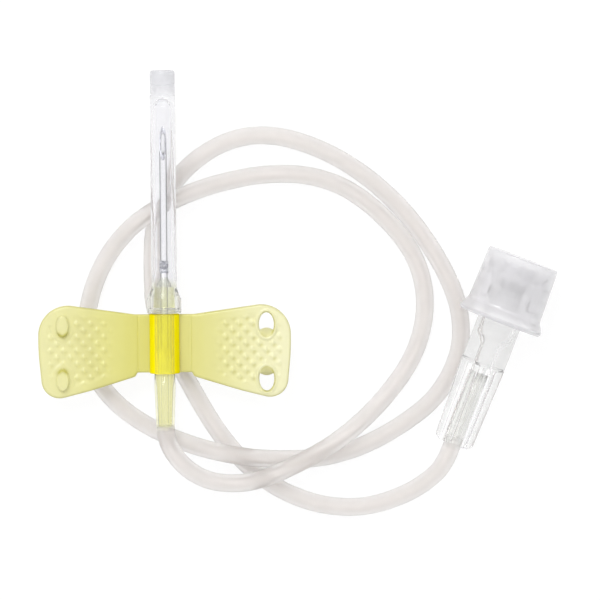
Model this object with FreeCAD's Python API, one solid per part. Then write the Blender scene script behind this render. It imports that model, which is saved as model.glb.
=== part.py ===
import FreeCAD, Part
import math
import os

from FreeCAD import Placement, Rotation, Vector

# Winged infusion set, lying flat as it comes to rest, in millimetres.
# +X is across the wings, +Y runs along the needle towards its tip, +Z is up.
# The origin is on the table, under the middle of everything but the tubing.

# Fits between pieces
SLIDE_GAP = 0.05        # between a sliding cover and what it slides on
HINGE_GAP = 0.1         # between a wing's rolled edge and its hinge strip
SEAT_GAP = 0.02         # between pieces that are bonded together
MOUTH_GAP = 0.12        # between the needle cover's mouth and the wing sleeve

# Where the winged needle lies, measured at the middle of its sleeve
WINGS_X = -16.87
WINGS_Y = -10.63
WINGS_Z = 5.7
WINGS_TILT = 4.0        # degrees, needle end raised
WINGS_TURN = 0.45       # degrees, seen from above

# Needle
NEEDLE_OD = 0.9
NEEDLE_ID = 0.6
NEEDLE_TIP = 27.4       # from the middle of the sleeve
NEEDLE_HEEL = -0.5
BEVEL_ANGLE = 12.0

# Hub: nose, barrel inside the sleeve, and the tail that the tubing is pushed over
HUB_NOSE_R = 1.25
HUB_NOSE_TOP = 7.16
HUB_NOSE_STEP = 5.95
HUB_NECK_R = 1.32
HUB_SHOULDER_R = 1.45
HUB_SHOULDER = 0.42
HUB_BARREL_R = 1.27
HUB_TAIL_R = 1.05
HUB_TAIL_END_R = 0.8
HUB_TAIL_END = -10.55
HUB_TAIL_STEP = 0.35
HUB_TAIL_ROUND = 0.25
HUB_EDGE = 0.18
HUB_LUMEN_R = 0.42

# Glue round the needle where it enters the hub
GLUE_FILLET_R = 0.95
GLUE_FILLET_H = 1.05
GLUE_BAND_R = 0.56
GLUE_BAND_FROM = 8.95
GLUE_BAND_TO = 10.45

# Wing sleeve with its two thin hinge strips
SLEEVE_R = 1.9
SLEEVE_HALF = 3.75
STRIP_THICK = 0.5
STRIP_HALF = 3.68
STRIP_BLEND = 0.35

# Wings
HINGE_X = 3.3
WING_DROP = 0.45        # wing mid-plane below the needle axis
WING_THICK = 1.0
WING_ROOT_THICK = 0.6
WING_ROOT_SLOPE = 1.7
WING_EDGE_R = 0.3
WING_REACH = 15.92
WING_FRONT_Y = 5.4      # outer corner towards the needle
WING_FRONT_R = 3.75
WING_BACK_Y = -7.45     # outer corner towards the tubing
WING_BACK_R = 2.3
WING_BACK_IN = 0.62     # how far that corner is set in from the reach
WING_SIDE_R = 28.0      # outer edge, bowed outwards
WING_SWEEP_R = 25.0     # back edge, bowed where it runs out from the root
WING_SWEEP = (9.5, -5.98)
WING_NECK = (3.7, -4.2)
SOCKET_RIM = 0.55
PANEL_MARGIN = 1.15
PANEL_DEPTH = 0.12
STUD_PITCH = 1.7        # from stud to stud along a row; rows are half of that apart
STUD_HALF = 0.52        # from a stud's middle to its corner
STUD_TOP_HALF = 0.16
STUD_HIGH = 0.2
STUD_MARGIN = 0.25
STUD_SINK = 0.05
PEG_X = 12.85
PEG_FRONT_Y = 2.3
PEG_BACK_Y = -4.55
PEG_LONG = 2.9
PEG_WIDE = 1.75
PEG_HIGH = 0.8
PEG_BEVEL = 0.2
PEG_FIT = 0.12

# Needle cover
COVER_R = 1.6
COVER_TOP = 34.45
COVER_TOP_BEVEL = 0.5
COVER_CAP_R = 1.56
COVER_CAP_FROM = 31.1
COVER_GROOVE_Y = 32.7
COVER_GROOVE = 0.05
COVER_BORE_R = 1.05
COVER_BORE_TOP = 31.0
COVER_SEAT_TOP = 7.75
COVER_SEAT_TAPER = 1.7
COVER_COLLAR_R = 2.15
COVER_COLLAR_H = 1.85
COVER_COLLAR_FLARE = 1.2
COVER_EDGE = 0.15
COVER_COUNTERBORE_R = 1.6
COVER_COUNTERBORE = 0.55

# Luer connector; its own axis starts at the tube entry
CONNECTOR_X = 19.42
CONNECTOR_Y = -23.28
CONNECTOR_TURN = 21.0   # degrees from +Y towards +X
CONNECTOR_TILT = 2.0    # degrees, cap end raised
CONNECTOR_TOP = 23.6
CONNECTOR_R = 2.8
CONNECTOR_SHOULDER = 10.85
CONNECTOR_CORE_R = 1.9
CONNECTOR_CORE_END_R = 1.75
CONNECTOR_RIM = 0.25
FIN_R = 2.85
FIN_END_R = 2.5
FIN_THICK = 0.7
FIN_COUNT = 4
FIN_PHASE = 18.0
FIN_FOOT = 1.1
LUG_R = 3.9
LUG_THICK = 1.15
LUG_WIDE = 2.9
LUER_MOUTH_R = 2.14
LUER_TAPER = 0.03       # radius lost for each millimetre of depth
LUER_DEPTH = 9.1
LUER_CONE = 1.1
FLOW_BORE_R = 1.0
SOCKET_DEPTH = 9.6

# Luer cap; its roof stands a little above the connector's mouth
CAP_LENGTH = 8.55
CAP_HEADROOM = 0.42
CAP_ROOF = 1.0
CAP_TOP = CONNECTOR_TOP + CAP_HEADROOM + CAP_ROOF
CAP_TOP_R = 4.6
CAP_SIDE_R = 4.8
CAP_FLARE_FROM = 1.85
CAP_LIP_R = 5.45
CAP_LIP = 0.55
CAP_MOUTH_R = 5.2
CAP_EDGE_R = 0.25
CAP_PLUG_LENGTH = 4.1
CAP_PLUG_BORE_R = 1.0
CAP_PLUG_BORE = 3.1

# Tubing
TUBE_OD = 2.25
TUBE_WALL = 0.35
TUBE_BEND_SHARE = 0.45

# Route of the tubing's middle line, from the hub's tail to the connector.
# It leaves the hub over the two turns below, runs once round the inside,
# once round the outside, passes under the needle and wings, and comes back.
ROUTE = [
    (-16.78, -21.12, 4.96), (-16.79, -22.45, 4.87), (-16.45, -24.65, 4.66),
    (-15.50, -26.60, 4.38), (-14.00, -28.25, 4.05), (-12.10, -29.40, 3.76),
    (-9.60, -30.05, 3.54), (-6.10, -29.70, 3.47), (-1.2, -27.7, 3.46),
    (5.3, -23.2, 3.45), (10.8, -17.8, 1.4), (14.9, -12.0, 1.125),
    (16.3, -5.8, 1.125), (15.0, -0.3, 1.125), (11.8, 4.2, 1.125),
    (6.8, 8.8, 1.125), (1.7, 10.7, 1.125), (-3.9, 10.9, 1.125),
    (-9.7, 9.8, 1.3), (-14.6, 8.1, 3.42), (-19.9, 5.3, 3.42),
    (-23.5, 1.6, 1.35), (-25.7, -2.5, 1.125), (-26.8, -6.9, 1.125),
    (-27.2, -11.0, 1.125), (-25.5, -15.5, 1.125), (-22.2, -19.1, 1.125),
    (-18.0, -21.7, 1.125), (-14.1, -23.3, 1.2), (-10.1, -24.4, 3.4),
    (-5.8, -25.1, 3.4), (-1.5, -25.3, 1.2), (3.5, -25.1, 1.125),
    (8.8, -23.4, 1.125), (14.1, -20.3, 1.125), (18.0, -16.9, 1.125),
    (20.6, -11.6, 1.125), (20.5, -5.9, 1.125), (18.0, 0.4, 1.125),
    (13.7, 6.7, 1.125), (8.0, 11.1, 1.125), (2.5, 14.2, 1.125),
    (-3.4, 15.9, 1.125), (-8.7, 15.3, 1.125), (-13.5, 12.4, 1.125),
    (-16.8, 8.5, 1.125), (-18.4, 4.0, 1.125), (-18.5, -1.4, 1.125),
    (-18.3, -6.5, 1.125), (-15.9, -11.7, 1.125), (-13.0, -17.2, 1.125),
    (-10.1, -22.0, 1.125), (-6.5, -26.2, 1.125), (-2.2, -29.3, 1.125),
    (3.0, -31.2, 1.125), (8.5, -31.4, 1.65), (13.6, -29.7, 3.0),
    (16.8, -27.6, 4.07), (18.4, -25.75, 4.63), (19.42, -23.28, 4.86),
]

ALONG = Vector(0, 1, 0)
UP = Vector(0, 0, 1)


def wings_place():
    """Placement of the needle, hub, wings and cover, whose axis is local +Y."""
    tilt = Rotation(Vector(1, 0, 0), WINGS_TILT)
    turn = Rotation(UP, WINGS_TURN)
    return Placement(Vector(WINGS_X, WINGS_Y, WINGS_Z), turn.multiply(tilt))


def connector_place():
    """Placement of the connector and cap; the cap's lip rests on the table."""
    tilt_angle = math.radians(CONNECTOR_TILT)
    lip_station = CAP_TOP - CAP_LENGTH + CAP_LIP * 0.5
    entry_z = CAP_LIP_R * math.cos(tilt_angle) - lip_station * math.sin(tilt_angle)
    tilt = Rotation(Vector(1, 0, 0), CONNECTOR_TILT)
    turn = Rotation(UP, -CONNECTOR_TURN)
    return Placement(Vector(CONNECTOR_X, CONNECTOR_Y, entry_z), turn.multiply(tilt))


def turned(profile):
    """Solid of revolution about local +Y from (radius, station) corners."""
    corners = [Vector(radius, station, 0) for radius, station in profile]
    wire = Part.makePolygon(corners + corners[:1])
    return Part.Face(wire).revolve(Vector(0, 0, 0), ALONG, 360)


def rod(radius, start, end):
    """Cylinder on the local axis between two stations."""
    return Part.makeCylinder(radius, end - start, Vector(0, start, 0), ALONG)


def cone(start_radius, end_radius, start, end):
    """Truncated cone on the local axis between two stations."""
    return Part.makeCone(start_radius, end_radius, end - start, Vector(0, start, 0), ALONG)


def slab(low, high):
    """Box between two corners."""
    size = high - low
    return Part.makeBox(size.x, size.y, size.z, low)


def circles_at(shape, station, radius):
    """Circular edges of a turned solid at one station and radius."""
    found = []
    for edge in shape.Edges:
        curve = edge.Curve
        if not isinstance(curve, Part.Circle):
            continue
        if abs(curve.Center.y - station) < 1e-4 and abs(curve.Radius - radius) < 1e-4:
            found.append(edge)
    return found


def make_needle():
    """Steel tube with a slanting point whose opening faces up."""
    radius = NEEDLE_OD / 2
    tube = rod(radius, NEEDLE_HEEL, NEEDLE_TIP)
    tube = tube.cut(rod(NEEDLE_ID / 2, NEEDLE_HEEL - 1, NEEDLE_TIP + 1))
    bevel_run = NEEDLE_OD / math.tan(math.radians(BEVEL_ANGLE))
    waste = Part.makePolygon([
        Vector(-NEEDLE_OD, NEEDLE_TIP, -radius),
        Vector(-NEEDLE_OD, NEEDLE_TIP - bevel_run * 2, radius * 3),
        Vector(-NEEDLE_OD, NEEDLE_TIP + NEEDLE_OD, radius * 3),
        Vector(-NEEDLE_OD, NEEDLE_TIP, -radius),
    ])
    return tube.cut(Part.Face(waste).extrude(Vector(NEEDLE_OD * 2, 0, 0)))


def make_glue():
    """Bead of adhesive at the hub's nose, with a band further up the needle."""
    inner = NEEDLE_OD / 2 + SEAT_GAP / 2
    film = (inner + GLUE_BAND_R) / 2
    base = HUB_NOSE_TOP
    return turned([
        (inner, base),
        (GLUE_FILLET_R, base),
        (GLUE_FILLET_R * 0.8, base + GLUE_FILLET_H * 0.35),
        (film, base + GLUE_FILLET_H),
        (film, GLUE_BAND_FROM - 0.1),
        (GLUE_BAND_R, GLUE_BAND_FROM),
        (GLUE_BAND_R, GLUE_BAND_TO),
        (inner, GLUE_BAND_TO + 0.12),
    ])


def make_hub():
    """Yellow hub: nose, neck, shoulder ring, barrel and tapering tail."""
    body = turned([
        (0, HUB_TAIL_END),
        (HUB_TAIL_END_R - HUB_TAIL_ROUND, HUB_TAIL_END),
        (HUB_TAIL_END_R, HUB_TAIL_END + HUB_TAIL_ROUND),
        (HUB_TAIL_R, -SLEEVE_HALF - HUB_TAIL_STEP),
        (HUB_BARREL_R, -SLEEVE_HALF),
        (HUB_BARREL_R, SLEEVE_HALF),
        (HUB_SHOULDER_R, SLEEVE_HALF),
        (HUB_SHOULDER_R, SLEEVE_HALF + HUB_SHOULDER * 0.5),
        (HUB_NECK_R, SLEEVE_HALF + HUB_SHOULDER),
        (HUB_NECK_R, HUB_NOSE_STEP - 0.1),
        (HUB_NOSE_R, HUB_NOSE_STEP),
        (HUB_NOSE_R, HUB_NOSE_TOP - HUB_EDGE),
        (HUB_NOSE_R - HUB_EDGE, HUB_NOSE_TOP),
        (0, HUB_NOSE_TOP),
    ])
    needle_bore = rod(NEEDLE_OD / 2 + SEAT_GAP / 2, NEEDLE_HEEL, HUB_NOSE_TOP + 1)
    lumen = rod(HUB_LUMEN_R, HUB_TAIL_END - 1, NEEDLE_HEEL)
    return body.cut(needle_bore).cut(lumen)


def make_sleeve():
    """Soft sleeve round the hub, with a thin hinge strip along each side."""
    strip_reach = HINGE_X - WING_ROOT_THICK / 2 - HINGE_GAP
    half = STRIP_THICK / 2
    strips = slab(Vector(-strip_reach, -STRIP_HALF, -WING_DROP - half),
                  Vector(strip_reach, STRIP_HALF, -WING_DROP + half))
    body = rod(SLEEVE_R, -SLEEVE_HALF, SLEEVE_HALF).fuse(strips).removeSplitter()
    roots = []
    for edge in body.Edges:
        box = edge.BoundBox
        straight = box.YLength > STRIP_HALF and box.XLength < 1e-3
        on_strip = abs(abs(box.Center.z + WING_DROP) - half) < 1e-3
        if straight and on_strip and abs(box.Center.x) < SLEEVE_R:
            roots.append(edge)
    body = body.makeFillet(STRIP_BLEND, roots)
    return body.cut(rod(HUB_BARREL_R + SEAT_GAP, -SLEEVE_HALF - 1, SLEEVE_HALF + 1))


def rounded_outline(corners):
    """Closed flat wire through (x, y, radius) corners, each rounded by a tangent arc."""
    points = [Vector(x, y, 0) for x, y, radius in corners]
    count = len(points)
    edges = []
    arcs = []
    for index, (x, y, radius) in enumerate(corners):
        corner = points[index]
        inward = (corner - points[index - 1]).normalize()
        outward = (points[(index + 1) % count] - corner).normalize()
        turn = inward.getAngle(outward)
        trim = radius * math.tan(turn / 2)
        middle = corner
        if radius > 0:
            to_middle = (outward - inward).normalize()
            middle = corner + to_middle * (radius / math.cos(turn / 2) - radius)
        arcs.append((corner - inward * trim, middle, corner + outward * trim))
    for index, (arc_in, middle, arc_out) in enumerate(arcs):
        if arc_in.distanceToPoint(arc_out) > 0:
            edges.append(Part.Arc(arc_in, middle, arc_out).toShape())
        edges.append(Part.LineSegment(arc_out, arcs[(index + 1) % count][0]).toShape())
    return Part.Wire(edges)


def wing_outline(root_x):
    """Plan outline of the right wing, as one closed wire that starts at root_x."""
    neck_x, neck_y = WING_NECK
    sweep_x, sweep_y = WING_SWEEP
    side_y = (WING_FRONT_Y + WING_BACK_Y) / 2
    return rounded_outline([
        (root_x, -STRIP_HALF, 0),
        (neck_x - WING_EDGE_R, -STRIP_HALF, WING_EDGE_R / 2),
        (neck_x, neck_y, WING_EDGE_R),
        (sweep_x, sweep_y, WING_SWEEP_R),
        (WING_REACH - WING_BACK_IN, WING_BACK_Y, WING_BACK_R),
        (WING_REACH, side_y, WING_SIDE_R),
        (WING_REACH, WING_FRONT_Y, WING_FRONT_R),
        (neck_x, STRIP_HALF, WING_FRONT_R),
        (root_x, STRIP_HALF, 0),
    ])


def wing_plate():
    """Right wing: plan outline crossed with a section that thins to the hinge."""
    half = WING_THICK / 2
    root = WING_ROOT_THICK / 2
    full_x = HINGE_X + WING_ROOT_SLOPE
    end_x = WING_REACH + 1
    depth = 20
    section = Part.Wire([
        Part.LineSegment(Vector(HINGE_X, -depth, root), Vector(full_x, -depth, half)).toShape(),
        Part.LineSegment(Vector(full_x, -depth, half), Vector(end_x, -depth, half)).toShape(),
        Part.LineSegment(Vector(end_x, -depth, half), Vector(end_x, -depth, -half)).toShape(),
        Part.LineSegment(Vector(end_x, -depth, -half), Vector(full_x, -depth, -half)).toShape(),
        Part.LineSegment(Vector(full_x, -depth, -half), Vector(HINGE_X, -depth, -root)).toShape(),
        Part.LineSegment(Vector(HINGE_X, -depth, -root), Vector(HINGE_X, -depth, root)).toShape(),
    ])
    bar = Part.Face(section).extrude(Vector(0, 2 * depth, 0))
    prism = Part.Face(wing_outline(HINGE_X - WING_THICK)).extrude(Vector(0, 0, WING_THICK))
    prism.translate(Vector(0, 0, -half))
    rims = [edge for edge in prism.Edges if edge.BoundBox.ZLength < 1e-4]
    plate = bar.common(prism.makeFillet(WING_EDGE_R, rims))
    knuckle = Part.makeCylinder(root, 2 * STRIP_HALF, Vector(HINGE_X, -STRIP_HALF, 0), ALONG)
    return plate.fuse(knuckle).removeSplitter()


def wing_panel():
    """Shallow recess that holds the grip texture, set in from the outline."""
    inner = wing_outline(HINGE_X - PANEL_MARGIN).makeOffset2D(-PANEL_MARGIN)
    floor_z = WING_THICK / 2 - PANEL_DEPTH
    recess = Part.Face(inner).extrude(Vector(0, 0, WING_THICK))
    recess.translate(Vector(0, 0, floor_z))
    keep_from = HINGE_X + WING_ROOT_SLOPE
    room = slab(Vector(keep_from, -WING_REACH, 0), Vector(WING_REACH, WING_REACH, WING_THICK))
    return recess.common(room)


def grip_studs():
    """Rows of small four-sided studs over the recess, every other row set over."""
    rim = PANEL_MARGIN + STUD_HALF
    room = Part.Face(wing_outline(HINGE_X - rim).makeOffset2D(-rim))
    first_x = HINGE_X + WING_ROOT_SLOPE + STUD_HALF + STUD_MARGIN
    low = WING_THICK / 2 - PANEL_DEPTH - STUD_SINK
    high = WING_THICK / 2 - PANEL_DEPTH + STUD_HIGH
    wide = STUD_HALF * math.sqrt(0.5)
    slim = STUD_TOP_HALF * math.sqrt(0.5)
    studs = []
    rows = int(WING_REACH / STUD_PITCH) * 2
    for row in range(-rows, rows + 1):
        for column in range(rows):
            x = (column + (row % 2) / 2) * STUD_PITCH
            place = Vector(x, row * STUD_PITCH / 2, 0)
            if x < first_x or not room.isInside(place, 1e-4, True):
                continue
            if min(oval_gap(place, station) for station in (PEG_FRONT_Y, PEG_BACK_Y)) < 1:
                continue
            stud = Part.makeWedge(-wide, 0, -wide, -slim, -slim, wide, high - low, wide, slim, slim)
            stud.rotate(Vector(0, 0, 0), Vector(1, 0, 0), 90)
            stud.rotate(Vector(0, 0, 0), UP, 45)
            stud.translate(place + Vector(0, 0, low))
            studs.append(stud)
    return studs


def oval_gap(place, station):
    """Below 1 where a stud would meet the rim of the oval at a station."""
    clear = SOCKET_RIM + STUD_HALF
    across = (place.x - PEG_X) / (PEG_WIDE / 2 + clear)
    along = (place.y - station) / (PEG_LONG / 2 + clear)
    return math.hypot(across, along)


def oval_prism(station, grow, low, high):
    """Upright oval prism at one of the two peg places of the right wing."""
    oval = Part.Ellipse(Vector(0, 0, 0), PEG_LONG / 2 + grow, PEG_WIDE / 2 + grow)
    wire = Part.Wire([oval.toShape()])
    wire.rotate(Vector(0, 0, 0), UP, 90)
    wire.translate(Vector(PEG_X, station, low))
    return Part.Face(wire).extrude(Vector(0, 0, high - low))


def mirrored(shape):
    """The same shape on the other side of the needle."""
    return shape.mirror(Vector(0, 0, 0), Vector(1, 0, 0))


def make_wing_right():
    """Right wing, with two oval sockets right through it."""
    wing = wing_plate().cut(wing_panel()).multiFuse(grip_studs())
    for station in (PEG_FRONT_Y, PEG_BACK_Y):
        rim = oval_prism(station, SOCKET_RIM, 0, WING_THICK / 2)
        wing = wing.fuse(rim)
    for station in (PEG_FRONT_Y, PEG_BACK_Y):
        wing = wing.cut(oval_prism(station, PEG_FIT, -WING_THICK, WING_THICK))
    wing.translate(Vector(0, 0, -WING_DROP))
    return wing


def make_wing_left():
    """Left wing, with two oval pegs that enter the right wing's sockets."""
    wing = wing_plate().cut(wing_panel()).multiFuse(grip_studs())
    for station in (PEG_FRONT_Y, PEG_BACK_Y):
        peg = oval_prism(station, 0, 0, WING_THICK / 2 + PEG_HIGH)
        peg_top = WING_THICK / 2 + PEG_HIGH
        top = [edge for edge in peg.Edges if edge.BoundBox.ZMin > peg_top - 1e-4]
        wing = wing.fuse(peg.makeChamfer(PEG_BEVEL, top))
    wing.translate(Vector(0, 0, -WING_DROP))
    return mirrored(wing)


def make_cover():
    """Clear needle cover: closed top, long fine bore and flared mouth."""
    mouth = SLEEVE_HALF + MOUTH_GAP
    collar_top = mouth + COVER_COLLAR_H
    body = turned([
        (0, mouth),
        (COVER_COLLAR_R - COVER_EDGE, mouth),
        (COVER_COLLAR_R, mouth + COVER_EDGE),
        (COVER_COLLAR_R, collar_top - COVER_EDGE),
        (COVER_COLLAR_R - COVER_EDGE / 2, collar_top),
        (COVER_R, collar_top + COVER_COLLAR_FLARE),
        (COVER_R, COVER_CAP_FROM),
        (COVER_CAP_R, COVER_CAP_FROM + COVER_EDGE),
        (COVER_CAP_R, COVER_GROOVE_Y - COVER_EDGE / 2),
        (COVER_CAP_R - COVER_GROOVE, COVER_GROOVE_Y),
        (COVER_CAP_R, COVER_GROOVE_Y + COVER_EDGE / 2),
        (COVER_CAP_R, COVER_TOP - COVER_TOP_BEVEL),
        (COVER_CAP_R - COVER_TOP_BEVEL * 0.35, COVER_TOP - COVER_TOP_BEVEL * 0.35),
        (COVER_CAP_R - COVER_TOP_BEVEL, COVER_TOP),
        (0, COVER_TOP),
    ])
    seat_r = HUB_NECK_R + SLIDE_GAP
    bore = turned([
        (0, mouth - 1),
        (COVER_COUNTERBORE_R, mouth - 1),
        (COVER_COUNTERBORE_R, mouth + COVER_COUNTERBORE),
        (seat_r, mouth + COVER_COUNTERBORE + COVER_EDGE),
        (seat_r, COVER_SEAT_TOP),
        (COVER_BORE_R, COVER_SEAT_TOP + COVER_SEAT_TAPER),
        (COVER_BORE_R, COVER_BORE_TOP - COVER_BORE_R),
        (COVER_BORE_R * 0.5, COVER_BORE_TOP - COVER_BORE_R * 0.2),
        (0, COVER_BORE_TOP),
    ])
    return body.cut(bore)


def luer_radius(station):
    """Inside radius of the connector's tapered socket at a station."""
    return LUER_MOUTH_R - LUER_TAPER * (CONNECTOR_TOP - station)


def connector_fins(start, end):
    """Lengthwise fins that carry the barrel's width down to the tube entry."""
    fins = []
    half = FIN_THICK / 2
    slope = (FIN_R - FIN_END_R) / (end - start)
    for count in range(FIN_COUNT):
        corner = Vector(FIN_END_R - FIN_FOOT, start + FIN_FOOT, -half)
        spread = FIN_FOOT * math.sqrt(0.5)
        foot = Part.Arc(Vector(corner.x, start, -half), corner + Vector(spread, -spread, 0),
                        Vector(FIN_END_R, corner.y, -half)).toShape()
        top = FIN_END_R + slope * (end - corner.y)
        outline = Part.Wire([
            Part.LineSegment(Vector(0, start, -half), Vector(corner.x, start, -half)).toShape(),
            foot,
            Part.LineSegment(Vector(FIN_END_R, corner.y, -half), Vector(top, end, -half)).toShape(),
            Part.LineSegment(Vector(top, end, -half), Vector(0, end, -half)).toShape(),
            Part.LineSegment(Vector(0, end, -half), Vector(0, start, -half)).toShape(),
        ])
        fin = Part.Face(outline).extrude(Vector(0, 0, FIN_THICK))
        fin.rotate(Vector(0, 0, 0), ALONG, FIN_PHASE + count * 360 / FIN_COUNT)
        fins.append(fin)
    return fins


def make_connector():
    """Clear female luer connector: tapered socket, two lugs, fins, tube socket."""
    core = turned([
        (0, 0),
        (CONNECTOR_CORE_END_R - CONNECTOR_RIM, 0),
        (CONNECTOR_CORE_END_R, CONNECTOR_RIM),
        (CONNECTOR_CORE_R, CONNECTOR_SHOULDER - 0.4),
        (CONNECTOR_R - 0.1, CONNECTOR_SHOULDER),
        (CONNECTOR_R, CONNECTOR_SHOULDER + 0.15),
        (CONNECTOR_R, CONNECTOR_TOP - CONNECTOR_RIM / 2),
        (CONNECTOR_R - CONNECTOR_RIM / 2, CONNECTOR_TOP),
        (0, CONNECTOR_TOP),
    ])
    body = core.multiFuse(connector_fins(0, CONNECTOR_SHOULDER))
    lug_floor = CONNECTOR_TOP - LUG_THICK
    lug_low = Vector(-LUG_R, lug_floor, -LUG_WIDE / 2)
    lug_high = Vector(LUG_R, CONNECTOR_TOP, LUG_WIDE / 2)
    lugs = rod(LUG_R, lug_floor, CONNECTOR_TOP).common(slab(lug_low, lug_high))
    body = body.fuse(lugs).removeSplitter()
    luer_floor = CONNECTOR_TOP - LUER_DEPTH
    body = body.cut(cone(luer_radius(luer_floor), luer_radius(CONNECTOR_TOP), luer_floor, CONNECTOR_TOP))
    body = body.cut(cone(FLOW_BORE_R, luer_radius(luer_floor), luer_floor - LUER_CONE, luer_floor))
    body = body.cut(rod(FLOW_BORE_R, SOCKET_DEPTH, luer_floor - LUER_CONE))
    return body.cut(rod(TUBE_OD / 2 + SEAT_GAP, -1, SOCKET_DEPTH))


def make_cap():
    """Clear cap: flared skirt over the lugs and a hollow tapered plug."""
    mouth = CAP_TOP - CAP_LENGTH
    flare_top = mouth + CAP_FLARE_FROM
    roof = CAP_TOP - CAP_ROOF
    shell = turned([
        (0, mouth),
        (CAP_MOUTH_R, mouth),
        (CAP_LIP_R, mouth + CAP_LIP * 0.5),
        (CAP_LIP_R, mouth + CAP_LIP),
        (CAP_SIDE_R + 0.1, flare_top - 0.3),
        (CAP_SIDE_R, flare_top),
        (CAP_TOP_R, CAP_TOP),
        (0, CAP_TOP),
    ])
    shell = shell.makeFillet(CAP_EDGE_R, circles_at(shell, CAP_TOP, CAP_TOP_R))
    shell = shell.cut(rod(LUG_R + SLIDE_GAP, mouth - 1, roof))
    plug_end = roof - CAP_PLUG_LENGTH
    plug = cone(luer_radius(plug_end) - SLIDE_GAP, luer_radius(roof) - SLIDE_GAP, plug_end, roof)
    plug = plug.makeChamfer(CONNECTOR_RIM, circles_at(plug, plug_end, luer_radius(plug_end) - SLIDE_GAP))
    plug = plug.cut(rod(CAP_PLUG_BORE_R, plug_end - 1, plug_end + CAP_PLUG_BORE))
    return shell.fuse(plug).removeSplitter()


def bend_radius(before, corner, after):
    """Radius of the largest arc that rounds one point of the route."""
    inward = corner - before
    outward = after - corner
    turn = inward.getAngle(outward)
    return TUBE_BEND_SHARE * min(inward.Length, outward.Length) / math.tan(turn / 2)


def route_path(points):
    """Wire of straight runs and tangent arcs along the points, and the arcs' radii."""
    edges = []
    radii = []
    start = points[0]
    for before, corner, after in zip(points, points[1:], points[2:]):
        inward = (corner - before).normalize()
        outward = (after - corner).normalize()
        radius = bend_radius(before, corner, after)
        turn = inward.getAngle(outward)
        trim = radius * math.tan(turn / 2)
        to_middle = (outward - inward).normalize()
        middle = corner + to_middle * (radius / math.cos(turn / 2) - radius)
        edges.append(Part.LineSegment(start, corner - inward * trim).toShape())
        start = corner + outward * trim
        edges.append(Part.Arc(corner - inward * trim, middle, start).toShape())
        radii.append(radius)
    edges.append(Part.LineSegment(start, points[-1]).toShape())
    return Part.Wire(edges), radii


def make_tubing(wings, connector):
    """Tubing: a cuff stretched over the hub's tail, the round tube, and its socket end."""
    points = [Vector(*point) for point in ROUTE]
    points[0] = wings.multVec(Vector(0, HUB_TAIL_END, 0))
    points[-1] = connector.multVec(Vector(0, 0, 0))
    path, radii = route_path(points)
    ring = Part.Circle(points[0], points[1] - points[0], TUBE_OD / 2)
    tube = path.makePipeShell([Part.Wire([ring.toShape()])], True, False)
    section = math.pi * TUBE_OD ** 2 / 4
    bends = ", ".join("%.1f" % radius for radius in radii)
    print("tube path %.1f mm, bends %s" % (path.Length, bends))
    print("tightest bend %.2f mm = %.1f diameters" % (min(radii), min(radii) / TUBE_OD))
    print("tube volume %.2f, section times length %.2f" % (tube.Volume, section * path.Length))
    cuff_top = -SLEEVE_HALF - HUB_TAIL_STEP - SEAT_GAP
    cuff_r = HUB_TAIL_R + SEAT_GAP
    cuff_end_r = HUB_TAIL_END_R + SEAT_GAP
    cuff = turned([
        (cuff_r, cuff_top),
        (cuff_r + TUBE_WALL, cuff_top),
        (cuff_end_r + TUBE_WALL, HUB_TAIL_END + HUB_TAIL_ROUND),
        (TUBE_OD / 2, HUB_TAIL_END),
        (cuff_end_r - HUB_TAIL_ROUND, HUB_TAIL_END),
        (cuff_end_r, HUB_TAIL_END + HUB_TAIL_ROUND),
    ])
    cuff.Placement = wings
    stub = rod(TUBE_OD / 2, 0, SOCKET_DEPTH - SEAT_GAP)
    stub.Placement = connector
    return tube.multiFuse([cuff, stub])


def main():
    os.makedirs("parts", exist_ok=True)
    wings = wings_place()
    connector = connector_place()
    nodes = {
        "needle": (make_needle(), wings),
        "needle_glue": (make_glue(), wings),
        "hub": (make_hub(), wings),
        "wing_sleeve": (make_sleeve(), wings),
        "wing_left": (make_wing_left(), wings),
        "wing_right": (make_wing_right(), wings),
        "needle_cover": (make_cover(), wings),
        "luer_connector": (make_connector(), connector),
        "luer_cap": (make_cap(), connector),
        "tubing": (make_tubing(wings, connector), Placement()),
    }
    for name, (shape, place) in nodes.items():
        shape = shape.copy()
        shape.Placement = place.multiply(shape.Placement)
        shape.exportStep(os.path.join("parts", name + ".step"))
        box = shape.BoundBox
        print("%-15s solids %d valid %s volume %.2f  X %.2f..%.2f  Y %.2f..%.2f  Z %.2f..%.2f" % (
            name, len(shape.Solids), shape.isValid(), shape.Volume,
            box.XMin, box.XMax, box.YMin, box.YMax, box.ZMin, box.ZMax))


main()
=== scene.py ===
import math

import bmesh
import bpy
import numpy as np
from mathutils import Matrix, Vector
from mathutils.geometry import delaunay_2d_cdt


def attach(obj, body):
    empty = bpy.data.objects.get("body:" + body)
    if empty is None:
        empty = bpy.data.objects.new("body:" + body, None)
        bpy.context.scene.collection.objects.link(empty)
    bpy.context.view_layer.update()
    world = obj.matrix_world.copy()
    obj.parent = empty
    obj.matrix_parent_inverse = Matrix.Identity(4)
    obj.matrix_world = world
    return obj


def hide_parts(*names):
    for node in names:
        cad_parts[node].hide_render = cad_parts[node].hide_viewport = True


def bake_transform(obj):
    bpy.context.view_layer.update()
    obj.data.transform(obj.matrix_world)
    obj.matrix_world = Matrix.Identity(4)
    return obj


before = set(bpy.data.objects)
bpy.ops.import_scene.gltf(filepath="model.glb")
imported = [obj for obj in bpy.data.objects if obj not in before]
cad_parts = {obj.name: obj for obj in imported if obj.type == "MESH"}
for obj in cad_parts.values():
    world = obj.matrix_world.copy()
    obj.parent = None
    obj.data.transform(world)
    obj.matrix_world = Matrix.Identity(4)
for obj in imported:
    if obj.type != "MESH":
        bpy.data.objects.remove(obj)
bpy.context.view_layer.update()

MM = 0.001

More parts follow.
